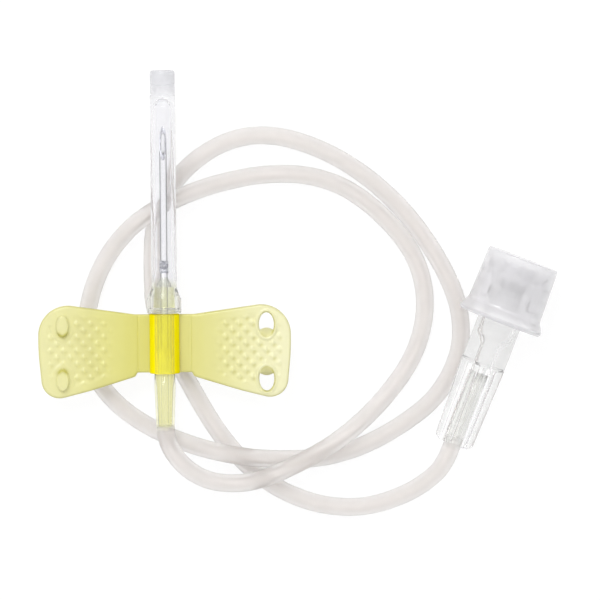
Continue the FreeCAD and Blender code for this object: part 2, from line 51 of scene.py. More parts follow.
# Camera and how the photograph is framed: straight down, through a long lens
CAMERA_X = 0.19
CAMERA_Y = -5.15
CAMERA_HEIGHT = 1200.0
FIELD = 75.95           # width of the picture on the table, in mm
SENSOR = 36.0

# Table and lamp, in metres
TABLE_HALF = 1.5
TABLE_GAP = 0.00002     # below the object
LAMP_PLACE = (-0.17, 0.32, 0.66)
LAMP_SIZE = 0.3
LAMP_POWER = 2.9        # in watts

# Tubing
TUBE_R = 1.125
TUBE_BORE_R = 0.55
TUBE_SIDES = 36
CUFF_TOP = -3.8         # along the needle's axis, where the tubing starts
TAIL_END = -10.55
CUFF_R = 1.42
CUFF_BORE_R = 1.07
CUFF_ROUND = 0.12       # taken off its outer rim
CUFF_FLARE = 0.24       # how much wider its mouth is
TAIL_BORE_R = 0.82
STUB_END = 9.58         # along the connector's axis, where the tubing ends

# Route of the tubing in metres: the CAD's points, with the first bend and two strands
# at the upper right closer to the photograph
LOW = TUBE_R * MM       # where it lies on the table
TUBE_ROUTE = [
    (-0.01678, -0.02112, 0.00496), (-0.01669, -0.02228, 0.00488), (-0.01615, -0.02385, 0.00471),
    (-0.01505, -0.02548, 0.00445), (-0.01345, -0.02690, 0.00410), (-0.01150, -0.02788, 0.00380),
    (-0.00905, -0.02835, 0.00356), (-0.00560, -0.02815, 0.00347), (-0.00120, -0.02645, 0.00346),
    (0.00530, -0.02290, 0.00345), (0.01080, -0.01780, 0.00140), (0.01490, -0.01200, LOW),
    (0.01630, -0.00580, LOW), (0.01518, -0.00022, LOW), (0.01197, 0.00437, LOW),
    (0.00680, 0.00880, LOW), (0.00170, 0.01070, LOW), (-0.00390, 0.01090, LOW),
    (-0.00970, 0.00980, 0.00130), (-0.01460, 0.00810, 0.00342), (-0.01990, 0.00530, 0.00342),
    (-0.02350, 0.00160, 0.00135), (-0.02570, -0.00250, LOW), (-0.02680, -0.00690, LOW),
    (-0.02720, -0.01100, LOW), (-0.02550, -0.01550, LOW), (-0.02220, -0.01910, LOW),
    (-0.01800, -0.02170, LOW), (-0.01410, -0.02330, 0.00120), (-0.01010, -0.02440, 0.00340),
    (-0.00580, -0.02510, 0.00340), (-0.00150, -0.02530, 0.00120), (0.00350, -0.02510, LOW),
    (0.00880, -0.02340, LOW), (0.01410, -0.02030, LOW), (0.01800, -0.01690, LOW),
    (0.02060, -0.01160, LOW), (0.02050, -0.00590, LOW), (0.01770, 0.00026, LOW),
    (0.01336, 0.00634, LOW), (0.00800, 0.01110, LOW), (0.00250, 0.01420, LOW),
    (-0.00340, 0.01590, LOW), (-0.00870, 0.01530, LOW), (-0.01350, 0.01240, LOW),
    (-0.01680, 0.00850, LOW), (-0.01840, 0.00400, LOW), (-0.01850, -0.00140, LOW),
    (-0.01830, -0.00650, LOW), (-0.01590, -0.01170, LOW), (-0.01300, -0.01720, LOW),
    (-0.01010, -0.02200, LOW), (-0.00650, -0.02620, LOW), (-0.00220, -0.02930, LOW),
    (0.00300, -0.03120, LOW), (0.00850, -0.03140, 0.00165), (0.01360, -0.02970, 0.00300),
    (0.01680, -0.02760, 0.00407), (0.01840, -0.02575, 0.00463), (0.01942, -0.02328, 0.00486),
]

# Needle and hub, along the needle's axis from the middle of the sleeve, in mm
NEEDLE_R = 0.45
NEEDLE_BORE_R = 0.3
NEEDLE_HEEL = -0.5
NEEDLE_TIP = 27.4
BEVEL_ANGLE = 12.0
SLEEVE_R = 1.9
SLEEVE_HALF = 3.75
BARREL_R = 1.27
NOSE_R = 1.25
NOSE_END = 7.16
NECK_R = 1.32
NECK_END = 5.85
RING_R = 1.45
RING_END = 3.96
HUB_BORE_R = 0.46
TAIL_R = 0.8
TAIL_PASSAGE_R = 0.42
BAND_START = 8.92
BAND_END = 10.5

# Wings
HINGE_X = 3.3
WING_DROP = 0.45
STRIP_HALF = 3.68
STRIP_THICK = 0.5
ROOT_THICK = 0.6
WING_THICK = 1.0
WING_ROOT_END = 5.0
WING_REACH = 15.92
WING_FRONT_Y = 5.4      # outer corner towards the needle
WING_FRONT_R = 3.75
WING_BACK_Y = -7.45     # outer corner towards the tubing
WING_BACK_R = 2.3
WING_BACK_IN = 0.62     # how far that corner is set in from the reach
WING_SIDE_R = 28.0      # outer edge, bowed outwards
WING_SWEEP = (9.5, -5.98)
WING_SWEEP_R = 25.0
WING_NECK = (3.7, -4.2)
WING_NECK_R = 0.3
EDGE_R = 0.32
PANEL_MARGIN = 1.15
PANEL_DEPTH = 0.1
PEG_X = 12.85
PEG_STATIONS = (2.3, -4.55)
PEG_LONG = 2.9
PEG_WIDE = 1.75
PEG_HIGH = 0.8
SOCKET_FIT = 0.06
SOCKET_RIM = 0.55
SOCKET_FILL = 0.75      # thin flash left at one end of each socket
RIM_HIGH = 0.13
NOTCH_DEPTH = 0.09
GRID = 0.135            # between the points that carry the grip pattern
GRID_Y = (-8.0, 6.0)
STUD_PITCH = 1.7
STUD_R = 0.62
STUD_HIGH = 0.28
RIMS_ON_PEGS = (-0.5, -0.22, -0.12, -0.04, 0.0, 0.06)
RIMS_ON_SOCKETS = (0.12, 0.2, 0.3, 0.4, 0.5, 0.62)
# Share of the studs' height, painted shade on their far side from the lamp, paleness at the sleeve and at
# the outer end (painted shade near the sleeve, painted light outwards)
PEG_WING_LOOK = (0.55, 0.15, 0.0, 0.62)
SOCKET_WING_LOOK = (0.7, 0.4125, 0.14, 1.0)

# Needle cover
COVER_R = 1.6
COVER_TOP = 34.45
COVER_MOUTH_R = 2.15
COVER_MOUTH_END = 5.72
COVER_NECK = 6.95       # where the flare has narrowed to the cover's width
COVER_STEP = 31.1       # where the end piece starts
COVER_END_R = 1.56
COVER_GROOVE = 32.7
COVER_BORE_R = 1.05
COVER_BORE_TOP = 31.0
COVER_SEAT_R = 1.37
COVER_SEAT_END = 7.75
COUNTERBORE_R = 1.6
COUNTERBORE_END = 4.42

# Connector and cap, along the connector's axis from the tube entry
CONNECTOR_TOP = 23.6
CONNECTOR_R = 2.8
SHOULDER = 10.85
CORE_R = (1.75, 1.9)    # at the tube entry and at the shoulder
FIN_R = (2.5, 2.85)
FIN_COUNT = 4
FIN_TURN = 18.0
FIN_HALF = 0.35
LUG_R = 3.9
LUG_HALF = 1.45
LUG_THICK = 1.2
LUER_MOUTH_R = 2.14
LUER_DEPTH = 9.1
LUER_SLOPE = 0.03
PASSAGE_R = 1.0
TUBE_SEAT_R = 1.145
TUBE_SEAT_END = 9.6
CAP_TOP = 25.02
CAP_MOUTH = 16.47
CAP_BORE_R = 3.95
CAP_LIP_R = 5.45
CAP_END_R = 4.6
PLUG_LENGTH = 4.1
PLUG_R = (1.87, 2.102)  # at its free end and at its root
DIMPLE_R = 0.9
DIMPLE_DEPTH = 0.58
THREAD_START = 22.3
THREAD_PITCH = 1.6
THREAD_TURNS = 4
THREAD_DEPTH = 0.22


def local_frame(origin, turn, tilt):
    """Matrix from a piece's own millimetres, with its axis along +Y, to the world in metres."""
    place = Matrix.Translation(Vector(origin))
    heading = Matrix.Rotation(math.radians(turn), 4, "Z")
    lean = Matrix.Rotation(math.radians(tilt), 4, "X")
    return Matrix.Scale(MM, 4) @ place @ heading @ lean


WINGS = local_frame((-16.87, -10.63, 5.7), 0.45, 4.0)
CONNECTOR = local_frame((19.42, -23.28, 4.862), -21.0, 2.0)


def make_object(name, verts, faces, place):
    """Smooth closed mesh object from points in a piece's own millimetres."""
    mesh = bpy.data.meshes.new(name)
    mesh.from_pydata([place @ Vector(vert) for vert in verts], [], faces)
    shell = bmesh.new()
    shell.from_mesh(mesh)
    bmesh.ops.recalc_face_normals(shell, faces=shell.faces)
    shell.to_mesh(mesh)
    shell.free()
    mesh.polygons.foreach_set("use_smooth", [True] * len(mesh.polygons))
    obj = bpy.data.objects.new(name, mesh)
    bpy.context.scene.collection.objects.link(obj)
    return obj


def add_ring(verts, sides, point_at):
    """Add a ring of points, one for each angle, and give back their numbers."""
    first = len(verts)
    verts.extend(point_at(2 * math.pi * side / sides) for side in range(sides))
    return list(range(first, first + sides))


def turned(radius, station):
    """Point at an angle about local +Y."""
    return lambda angle: (radius * math.cos(angle), station, radius * math.sin(angle))


def joined(ring, following):
    """Faces between two rings with as many points."""
    return list(zip(ring, ring[1:] + ring[:1], following[1:] + following[:1], following))


def store(obj, name, shares):
    """Keep a share at each point of a mesh, for its material."""
    obj.data.attributes.new(name, "FLOAT", "POINT").data.foreach_set("value", shares)


def softened(corners, radius, steps=4):
    """Closed outline whose corners are small curves, with a point beside each for even shading."""
    count = len(corners)
    points = []
    for index, corner in enumerate(corners):
        here = Vector(corner[:2])
        inward = here - Vector(corners[index - 1][:2])
        outward = Vector(corners[(index + 1) % count][:2]) - here
        turn = inward.angle(outward)
        if here.x < 1e-6 or turn < 0.02:
            points.append(tuple(here))
            continue
        wanted = (corner[2] if len(corner) > 2 else radius) * math.tan(turn / 2)
        trim = min(wanted, inward.length * 0.42, outward.length * 0.42)
        before = inward.normalized()
        after = outward.normalized()
        if inward.length > trim * 3:
            points.append(tuple(here - before * trim * 1.4))
        for step in range(steps + 1):
            share = step / steps
            start = here - before * trim * (1 - share)
            end = here + after * trim * share
            points.append(tuple(start.lerp(end, share)))
        if outward.length > trim * 3:
            points.append(tuple(here + after * trim * 1.4))
    return points


def lathe(name, outline, place, sides=96):
    """Solid turned about local +Y from a closed (radius, station) outline."""
    verts = []
    rings = []
    for radius, station in outline:
        rings.append(add_ring(verts, 1 if radius < 1e-6 else sides, turned(radius, station)))
    faces = []
    for ring, following in zip(rings, rings[1:] + rings[:1]):
        if len(ring) == len(following):
            faces.extend(joined(ring, following) if len(ring) > 1 else [])
            continue
        for side in range(sides):
            beside = (side + 1) % sides
            if len(ring) == 1:
                faces.append((ring[0], following[beside], following[side]))
            else:
                faces.append((ring[side], ring[beside], following[0]))
    return make_object(name, verts, faces, place)


# Materials

NOISE_RANGE = (0.3, 0.7)
DRIFT_SCALE = 700.0     # of the colours: features in a metre
GRAIN_SCALE = 1500.0    # of the gloss
HAZE_SCALE = 400.0


def srgb(red, green, blue):
    """Colour as it is read off a screen, brought to the renderer's linear numbers."""
    values = []
    for value in (red, green, blue):
        share = value / 255
        values.append(share / 12.92 if share < 0.04045 else ((share + 0.055) / 1.055) ** 2.4)
    return tuple(values)


def new_material(name):
    """Empty node material, with its tree and its output."""
    made = bpy.data.materials.new(name)
    made.use_nodes = True
    tree = made.node_tree
    tree.nodes.clear()
    output = tree.nodes.new("ShaderNodeOutputMaterial")
    return made, tree, output


def dress(tree, output, shader):
    """Let a shader show."""
    tree.links.new(shader.outputs[0], output.inputs["Surface"])


def noise(tree, scale, detail=3.0, stretch=(1, 1, 1)):
    """Noise in the object's own space; scale counts features in a metre."""
    place = tree.nodes.new("ShaderNodeTexCoord")
    mapping = tree.nodes.new("ShaderNodeMapping")
    mapping.inputs["Scale"].default_value = stretch
    texture = tree.nodes.new("ShaderNodeTexNoise")
    texture.inputs["Scale"].default_value = scale
    texture.inputs["Detail"].default_value = detail
    tree.links.new(place.outputs["Object"], mapping.inputs["Vector"])
    tree.links.new(mapping.outputs["Vector"], texture.inputs["Vector"])
    return texture.outputs["Fac"]


def ranged(tree, value, source, target=(0.0, 1.0), steps="LINEAR"):
    """Value brought from one range into another."""
    node = tree.nodes.new("ShaderNodeMapRange")
    node.interpolation_type = steps
    for name, limit in zip(("From Min", "From Max", "To Min", "To Max"), (*source, *target)):
        node.inputs[name].default_value = limit
    tree.links.new(value, node.inputs["Value"])
    return node.outputs["Result"]


def spread(tree, value, low, high):
    """Noise brought into a range."""
    return ranged(tree, value, NOISE_RANGE, (low, high))


def bumped(tree, shader, value, distance):
    """Small unevenness on a shader's normal."""
    node = tree.nodes.new("ShaderNodeBump")
    node.inputs["Distance"].default_value = distance
    tree.links.new(value, node.inputs["Height"])
    tree.links.new(node.outputs["Normal"], shader.inputs["Normal"])


def feed(tree, socket, value):
    """Give a socket a fixed number, a fixed colour or another node's output."""
    if isinstance(value, float):
        socket.default_value = value
    elif isinstance(value, tuple):
        socket.default_value = (*value, 1)
    else:
        tree.links.new(value, socket)


def arithmetic(tree, operation, first, second):
    """Two values taken together."""
    node = tree.nodes.new("ShaderNodeMath")
    node.operation = operation
    feed(tree, node.inputs[0], first)
    feed(tree, node.inputs[1], second)
    return node.outputs[0]


def stored(tree, name):
    """Value that the mesh keeps at each of its points."""
    node = tree.nodes.new("ShaderNodeAttribute")
    node.attribute_name = name
    return node.outputs["Fac"]


def tinted(tree, share, color, target):
    """Colour that goes over to another one with a share."""
    node = tree.nodes.new("ShaderNodeMix")
    node.data_type = "RGBA"
    feed(tree, node.inputs["Factor"], share)
    feed(tree, node.inputs["A"], color)
    feed(tree, node.inputs["B"], target)
    return node.outputs["Result"]


def along_wall(tree, low, high):
    """Share that grows from 0 to 1 as one looks along a wall and not through it."""
    facing = tree.nodes.new("ShaderNodeLayerWeight")
    facing.inputs["Blend"].default_value = 0.5
    return ranged(tree, facing.outputs["Facing"], (low, high), steps="SMOOTHSTEP")


def plastic_shader(tree, colors, clear, rough, ior, coat=0.0):
    """See-through plastic: a colour that drifts a little and an uneven gloss."""
    shader = tree.nodes.new("ShaderNodeBsdfPrincipled")
    shader.inputs["Transmission Weight"].default_value = clear
    shader.inputs["IOR"].default_value = ior
    shader.inputs["Coat Weight"].default_value = coat
    shader.inputs["Coat Roughness"].default_value = 0.12
    drift = noise(tree, DRIFT_SCALE)
    color = tinted(tree, spread(tree, drift, 0.0, 1.0), colors[0], colors[1])
    tree.links.new(color, shader.inputs["Base Color"])
    fine = noise(tree, GRAIN_SCALE)
    tree.links.new(spread(tree, fine, rough[0], rough[1]), shader.inputs["Roughness"])
    return shader


def base_color(shader):
    """Socket that a shader's colour comes from."""
    return shader.inputs["Base Color"].links[0].from_socket


def plastic(name, *look, **more):
    """Material of one see-through plastic."""
    made, tree, output = new_material(name)
    dress(tree, output, plastic_shader(tree, *look, **more))
    return made


def mixed(tree, share, first, second):
    """Shader that goes from one to another with a share."""
    mix = tree.nodes.new("ShaderNodeMixShader")
    feed(tree, mix.inputs["Fac"], share)
    tree.links.new(first.outputs[0], mix.inputs[1])
    tree.links.new(second.outputs[0], mix.inputs[2])
    return mix


def cloudy(name, gray, haze, *look, **more):
    """Clear plastic with a little gray haze where the mesh marks its skin, uneven from place to place."""
    made, tree, output = new_material(name)
    clear = plastic_shader(tree, *look, **more)
    tinge = tinted(tree, stored(tree, "tinge"), base_color(clear), srgb(246, 248, 158))
    tree.links.new(tinge, clear.inputs["Base Color"])
    front = plastic_shader(tree, (srgb(*gray), srgb(*gray)), 0.0, (0.3, 0.4), 1.4)
    through = tree.nodes.new("ShaderNodeBsdfTranslucent")
    through.inputs["Color"].default_value = (0.96, 0.96, 0.97, 1)
    uneven = spread(tree, noise(tree, HAZE_SCALE), haze[0], haze[1])
    share = arithmetic(tree, "MULTIPLY", uneven, stored(tree, "skin"))
    surface = mixed(tree, share, clear, mixed(tree, 0.35, front, through))
    dress(tree, output, surface)
    return made


def walled(name, low, high, thin, deep):
    """Clear plastic whose colour deepens where one looks along its wall."""
    made, tree, output = new_material(name)
    shaders = [plastic_shader(tree, *look) for look in (thin, deep)]
    surface = mixed(tree, along_wall(tree, low, high), *shaders)
    dress(tree, output, surface)
    return made


def milky_tube(name):
    """Milky tubing that turns clear where it is stretched over the hub's tail."""
    made, tree, output = new_material(name)
    milky = plastic_shader(tree, (srgb(243, 240, 238), srgb(247, 244, 242)), 0.78, (0.29, 0.36), 1.24)
    clear_colors = (srgb(252, 252, 250), srgb(252, 252, 250))
    stretched = plastic_shader(tree, clear_colors, 0.92, (0.08, 0.13), 1.08, coat=1.0)
    tinge = tinted(tree, stored(tree, "tinge"), base_color(stretched), srgb(250, 249, 224))
    tree.links.new(tinge, stretched.inputs["Base Color"])
    surface = mixed(tree, stored(tree, "stretch"), milky, stretched)
    dress(tree, output, surface)
    return made


def wing_yellow(name):
    """Soft yellow, paler towards the wing's outer end (painted shade near the sleeve, painted light
    outwards) and darker beside what stands out (painted shade).
    """
    made, tree, output = new_material(name)
    shader = plastic_shader(tree, (srgb(226, 222, 128), srgb(232, 229, 142)), 0.34, (0.29, 0.34), 1.45)
    # Painted shade near the sleeve and painted light towards the wing's outer end
    painted_paleness = tinted(tree, stored(tree, "painted_light"), srgb(227, 222, 125), srgb(252, 250, 218))
    drift_and_painted_light = tinted(tree, 0.8, base_color(shader), painted_paleness)
    # Painted shade beside the studs, pegs and sockets and along the wing's edge
    shaded = tinted(tree, stored(tree, "shade"), drift_and_painted_light, srgb(196, 190, 76))
    tree.links.new(shaded, shader.inputs["Base Color"])
    dress(tree, output, shader)
    return made


def steel(name):
    """Drawn steel with fine marks along its length, a painted dark reflection along its outline, and dull
    where it is ground.
    """
    made, tree, output = new_material(name)
    shader = tree.nodes.new("ShaderNodeBsdfPrincipled")
    shader.inputs["Metallic"].default_value = 1.0
    marks = noise(tree, 9000.0, 4.0, (1, 0.03, 1))
    color = tinted(tree, spread(tree, marks, 0.0, 1.0), (0.98, 0.98, 0.99), (1.0, 1.0, 1.0))
    # Painted dark reflection where one looks along the surface, at the needle's outline
    color = tinted(tree, along_wall(tree, 0.36, 0.48), color, (0.02, 0.02, 0.03))
    color = tinted(tree, stored(tree, "ground"), color, (0.4, 0.4, 0.43))
    tree.links.new(color, shader.inputs["Base Color"])
    dulled = arithmetic(tree, "MULTIPLY", stored(tree, "ground"), 0.4)
    rough = arithmetic(tree, "ADD", dulled, spread(tree, marks, 0.05, 0.12))
    tree.links.new(rough, shader.inputs["Roughness"])
    bumped(tree, shader, marks, 0.000002)
    dress(tree, output, shader)
    return made


def crimped(name):
    """Roughened band on the needle: dark flecks in clear adhesive."""
    made, tree, output = new_material(name)
    shader = tree.nodes.new("ShaderNodeBsdfPrincipled")
    shader.inputs["Transmission Weight"].default_value = 0.35
    flecks = noise(tree, 3200.0, 2.0)
    color = tinted(tree, spread(tree, flecks, 0.0, 1.0), (0.38, 0.39, 0.46), (0.90, 0.91, 0.95))
    tree.links.new(color, shader.inputs["Base Color"])
    tree.links.new(spread(tree, flecks, 0.15, 0.4), shader.inputs["Roughness"])
    bumped(tree, shader, flecks, 0.00008)
    dress(tree, output, shader)
    return made


WING_YELLOW = wing_yellow("soft_yellow")
SLEEVE_YELLOW = walled(
    "sleeve_yellow", 0.17, 0.30,
    ((srgb(255, 250, 104), srgb(255, 251, 114)), 0.74, (0.13, 0.17), 1.06, 0.8),
    ((srgb(255, 240, 0), srgb(255, 243, 1)), 0.25, (0.16, 0.24), 1.03, 0.15))
HUB_YELLOW = walled(
    "hub_yellow", 0.1, 0.35,
    ((srgb(254, 254, 240), srgb(255, 255, 246)), 0.93, (0.06, 0.11), 1.1, 1.0),
    ((srgb(252, 252, 219), srgb(253, 253, 228)), 0.93, (0.06, 0.11), 1.1, 1.0))
COVER_CLEAR = cloudy(
    "cover_clear", (224, 224, 228), (0.1, 0.13),
    (srgb(252, 252, 254), srgb(254, 254, 255)), 1.0, (0.06, 0.075), 1.34)
CAP_FROSTED = cloudy(
    "cap_frosted", (254, 253, 255), (0.44, 0.47),
    (srgb(250, 249, 251), srgb(252, 251, 253)), 1.0, (0.07, 0.11), 1.2, coat=1.0)
CONNECTOR_CLEAR = cloudy(
    "connector_clear", (222, 221, 219), (0.16, 0.24),
    (srgb(252, 252, 252), srgb(254, 254, 254)), 1.0, (0.04, 0.08), 1.24)
TUBE_MILKY = milky_tube("tube_milky")
GLUE_CLEAR = plastic("glue_clear", (srgb(252, 253, 248), srgb(254, 254, 252)), 0.95, (0.06, 0.15), 1.35)
NEEDLE_STEEL = steel("needle_steel")
CRIMP_BAND = crimped("needle_band")


def mark(obj, name, place, share):
    """Store a share at each point of a clear piece, worked out from its radius and station."""
    back = place.inverted()
    shares = []
    for vert in obj.data.vertices:
        own = back @ vert.co
        shares.append(share(math.hypot(own.x, own.z), own.y))
    store(obj, name, shares)


def finish_piece(obj, body, material, slot, *nodes):
    """Give a piece its material, the body it rides on and the CAD nodes it stands for."""
    obj.data.materials.append(material)
    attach(obj, body)
    if nodes:
        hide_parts(*nodes)


# Camera

def make_camera():
    """Long lens that looks straight down."""
    data = bpy.data.cameras.new("camera")
    data.sensor_width = SENSOR
    data.lens = SENSOR * CAMERA_HEIGHT / FIELD
    data.clip_start = 0.01
    data.clip_end = 50.0
    camera = bpy.data.objects.new("camera", data)
    camera.location = (CAMERA_X * MM, CAMERA_Y * MM, CAMERA_HEIGHT * MM)
    bpy.context.scene.collection.objects.link(camera)
    bpy.context.scene.camera = camera


make_camera()


# Tubing

def route_line(points):
    """Smooth line through the route: a NURBS spline with the route as its control points."""
    data = bpy.data.curves.new("tube_route", "CURVE")
    data.dimensions = "3D"
    spline = data.splines.new("NURBS")
    spline.points.add(len(points) - 1)
    for point, place in zip(spline.points, points):
        point.co = (*place, 1)
    spline.order_u = 3
    spline.use_endpoint_u = True
    spline.resolution_u = 7
    holder = bpy.data.objects.new("tube_route", data)
    bpy.context.scene.collection.objects.link(holder)
    mesh = bpy.data.meshes.new_from_object(holder)
    line = [vert.co.copy() for vert in mesh.vertices]
    bpy.data.objects.remove(holder)
    bpy.data.meshes.remove(mesh)
    return line


def carried_frames(line):
    """Two cross directions at each point of a line, turned as little as possible."""
    frames = []
    side = None
    for index in range(len(line)):
        ahead = line[min(index + 1, len(line) - 1)] - line[max(index - 1, 0)]
        ahead.normalize()
        if side is None:
            side = ahead.orthogonal().normalized()
        side = (side - ahead * side.dot(ahead)).normalized()
        frames.append((side.copy(), ahead.cross(side)))
    return frames


def eased(value, low, high):
    """Smooth step from 0 at low to 1 at high."""
    share = min(max((value - low) / (high - low), 0.0), 1.0)
    return share * share * (3 - 2 * share)


def tube_radii(distance):
    """Outer and bore radius, in mm, at a distance along the tubing in mm."""
    tail = CUFF_TOP - TAIL_END
    share = min(distance / tail, 1.0)
    beyond = eased(distance, tail - 0.1, tail + 1.1)
    near_end = CUFF_BORE_R + (TAIL_BORE_R - CUFF_BORE_R) * share
    bore = near_end + (TUBE_BORE_R - near_end) * eased(distance, tail - 0.05, tail + 0.5)
    stretched = near_end + CUFF_R - CUFF_BORE_R
    outer = stretched + (TUBE_R - stretched) * beyond
    lip = CUFF_ROUND * (1 - eased(distance, 0.0, 0.15))
    bore += CUFF_FLARE * (1 - eased(distance, 0.0, 0.4))
    return outer - lip, bore


def make_tubing():
    """Milky tubing from the hub's tail to the connector, with its bore."""
    start = WINGS @ Vector((0, CUFF_TOP, 0))
    end = CONNECTOR @ Vector((0, STUB_END, 0))
    line = route_line([start] + [Vector(point) for point in TUBE_ROUTE] + [end])
    along = [0.0]
    for here, following in zip(line, line[1:]):
        along.append(along[-1] + (following - here).length)
    verts = []
    outer_rings = []
    inner_rings = []
    for place, (across, over), distance in zip(line, carried_frames(line), along):
        outer, bore = tube_radii(distance / MM)
        skins = ((outer, TUBE_SIDES, outer_rings), (bore, TUBE_SIDES // 2, inner_rings))
        for radius, sides, rings in skins:
            rings.append(add_ring(verts, sides, lambda angle: place + (
                across * math.cos(angle) + over * math.sin(angle)) * radius * MM))
    faces = []
    for rings in (outer_rings, inner_rings):
        for ring, following in zip(rings, rings[1:]):
            faces.extend(joined(ring, following))
    for outer, inner in ((outer_rings[0], inner_rings[0]), (outer_rings[-1], inner_rings[-1])):
        for side in range(len(inner)):
            beside = (side + 1) % len(inner)
            wide = (2 * side, 2 * side + 1, (2 * side + 2) % len(outer))
            faces.append((outer[wide[0]], outer[wide[1]], inner[side]))
            faces.append((outer[wide[1]], outer[wide[2]], inner[beside], inner[side]))
    obj = make_object("tubing_milky", verts, faces, Matrix.Identity(4))
    tail = CUFF_TOP - TAIL_END
    cuff = [1 - eased(distance / MM, tail - 0.3, tail + 0.7) for distance in along]
    plugged = [1 - eased((along[-1] - distance) / MM, STUB_END - 0.6, STUB_END + 0.2) for distance in along]
    clear = [max(near, far) for near, far in zip(cuff, plugged)]
    ring_size = TUBE_SIDES + TUBE_SIDES // 2
    store(obj, "stretch", np.repeat(clear, ring_size))
    store(obj, "tinge", np.repeat(cuff, ring_size))
    finish_piece(obj, "set", TUBE_MILKY, "tubing_milky", "tubing")


make_tubing()


# Needle, adhesive and hub

def make_needle():
    """Thin tube whose slanting point opens upwards."""
    sides = 48
    bevel_steps = 10
    slope = math.tan(math.radians(BEVEL_ANGLE))
    full = NEEDLE_TIP - 2 * NEEDLE_R / slope
    stations = [NEEDLE_HEEL, NEEDLE_HEEL + 0.1, full * 0.25, full * 0.5, full * 0.75, full - 0.1, full]
    steps = [(station, 0.0) for station in stations]
    steps += [(full, step / bevel_steps) for step in range(1, bevel_steps + 1)]

    def point(radius, angle, station, share):
        height = radius * math.sin(angle)
        limit = NEEDLE_TIP - (height + NEEDLE_R) / slope
        return radius * math.cos(angle), station + (limit - station) * share, height

    verts = []
    shells = []
    for radius in (NEEDLE_R, NEEDLE_BORE_R):
        rings = []
        for station, share in steps:
            rings.append(add_ring(verts, sides, lambda angle: point(radius, angle, station, share)))
        shells.append(rings)
    faces = []
    for rings in shells:
        for ring, following in zip(rings, rings[1:]):
            faces.extend(joined(ring, following))
    for row in (0, -1):
        faces.extend(joined(shells[0][row], shells[1][row]))
    obj = make_object("needle_tube", verts, faces, WINGS)
    ground = np.zeros(len(verts))
    ground[shells[0][-1] + shells[1][-1]] = 1.0
    store(obj, "ground", ground)
    obj.data.set_sharp_from_angle(angle=math.radians(35))
    finish_piece(obj, "set", NEEDLE_STEEL, "needle_steel", "needle")


def make_glue():
    """Clear bead at the hub's nose and a roughened band further up the needle."""
    foot = NOSE_END + 0.01
    bead = [
        (NEEDLE_R, foot), (0.97, foot, 0.05), (0.9, foot + 0.28, 0.3), (0.66, foot + 0.78, 0.3),
        (0.5, foot + 1.13, 0.2), (NEEDLE_R, foot + 1.33),
    ]
    finish_piece(lathe("adhesive_bead", softened(bead, 0.05), WINGS, 64), "set", GLUE_CLEAR, "clear_glue",
                 "needle_glue")
    band = [
        (NEEDLE_R + 0.005, BAND_START), (0.53, BAND_START + 0.03), (0.57, BAND_START + 0.23),
        (0.54, BAND_START + 0.68), (0.58, BAND_END - 0.4), (0.52, BAND_END - 0.05),
        (NEEDLE_R + 0.005, BAND_END),
    ]
    finish_piece(lathe("adhesive_band", softened(band, 0.06), WINGS, 64), "set", CRIMP_BAND, "clear_glue")


def make_hub():
    """Yellow hub: nose, neck, shoulder ring, barrel and tail, with the bores inside it."""
    outline = [
        (HUB_BORE_R, NOSE_END), (NOSE_R, NOSE_END, 0.18), (NOSE_R, NECK_END + 0.1, 0.03),
        (NECK_R, NECK_END, 0.05), (NECK_R, RING_END + 0.21, 0.05), (RING_R, RING_END, 0.05),
        (RING_R, SLEEVE_HALF + 0.01, 0.02), (BARREL_R, SLEEVE_HALF, 0.01), (BARREL_R, -SLEEVE_HALF, 0.01),
        (1.05, -SLEEVE_HALF - 0.35, 0.05), (TAIL_R, TAIL_END + 0.25, 0.2), (TAIL_R - 0.02, TAIL_END, 0.2),
        (TAIL_PASSAGE_R, TAIL_END, 0.1), (TAIL_PASSAGE_R, NEEDLE_HEEL - 0.05, 0.02),
        (HUB_BORE_R, NEEDLE_HEEL, 0.02),
    ]
    hub = lathe("hub_body", softened(outline, 0.05), WINGS)
    finish_piece(hub, "set", HUB_YELLOW, "hub_yellow", "hub")


def make_sleeve():
    """Soft sleeve round the hub's barrel."""
    outline = [
        (BARREL_R + 0.02, SLEEVE_HALF, 0.03), (SLEEVE_R, SLEEVE_HALF, 0.12),
        (SLEEVE_R, -SLEEVE_HALF, 0.12), (BARREL_R + 0.02, -SLEEVE_HALF, 0.03),
    ]
    sleeve = lathe("sleeve_soft", softened(outline, 0.1), WINGS)
    finish_piece(sleeve, "set", SLEEVE_YELLOW, "wing_yellow", "wing_sleeve")


make_needle()
make_glue()
make_hub()
make_sleeve()


# Wings

def outline_points(corners, step=0.16):
    """Dense closed plan outline with each (x, y, radius) corner rounded by a true arc."""
    count = len(corners)
    points = []
    for index, (x, y, radius) in enumerate(corners):
        here = Vector((x, y))
        before = (here - Vector(corners[index - 1][:2])).normalized()
        after = (Vector(corners[(index + 1) % count][:2]) - here).normalized()
        turn = before.angle(after)
        trim = radius * math.tan(turn / 2)
        inside = (after - before).normalized()
        centre = here + inside * (radius / math.cos(turn / 2))
        start = here - before * trim - centre
        steps = max(int(radius * turn / step), 1) if radius > 0 else 0
        side = 1 if before.cross(after) > 0 else -1
        for number in range(steps + 1):
            angle = side * turn * (number / steps if steps else 0)
            spun = Vector((start.x * math.cos(angle) - start.y * math.sin(angle),
                           start.x * math.sin(angle) + start.y * math.cos(angle)))
            points.append(centre + spun)
    dense = []
    for index, point in enumerate(points):
        following = points[(index + 1) % len(points)]
        pieces = max(int((following - point).length / step), 1)
        for number in range(pieces):
            dense.append(point.lerp(following, number / pieces))
    return [dense[0]] + [point for last, point in zip(dense, dense[1:]) if (point - last).length > 1e-4]


def oval_points(station, grow, count=40):
    """Closed oval round one peg's place."""
    points = []
    for number in range(count):
        angle = 2 * math.pi * number / count
        points.append(Vector((PEG_X + (PEG_WIDE / 2 + grow) * math.cos(angle),
                              station + (PEG_LONG / 2 + grow) * math.sin(angle))))
    return points


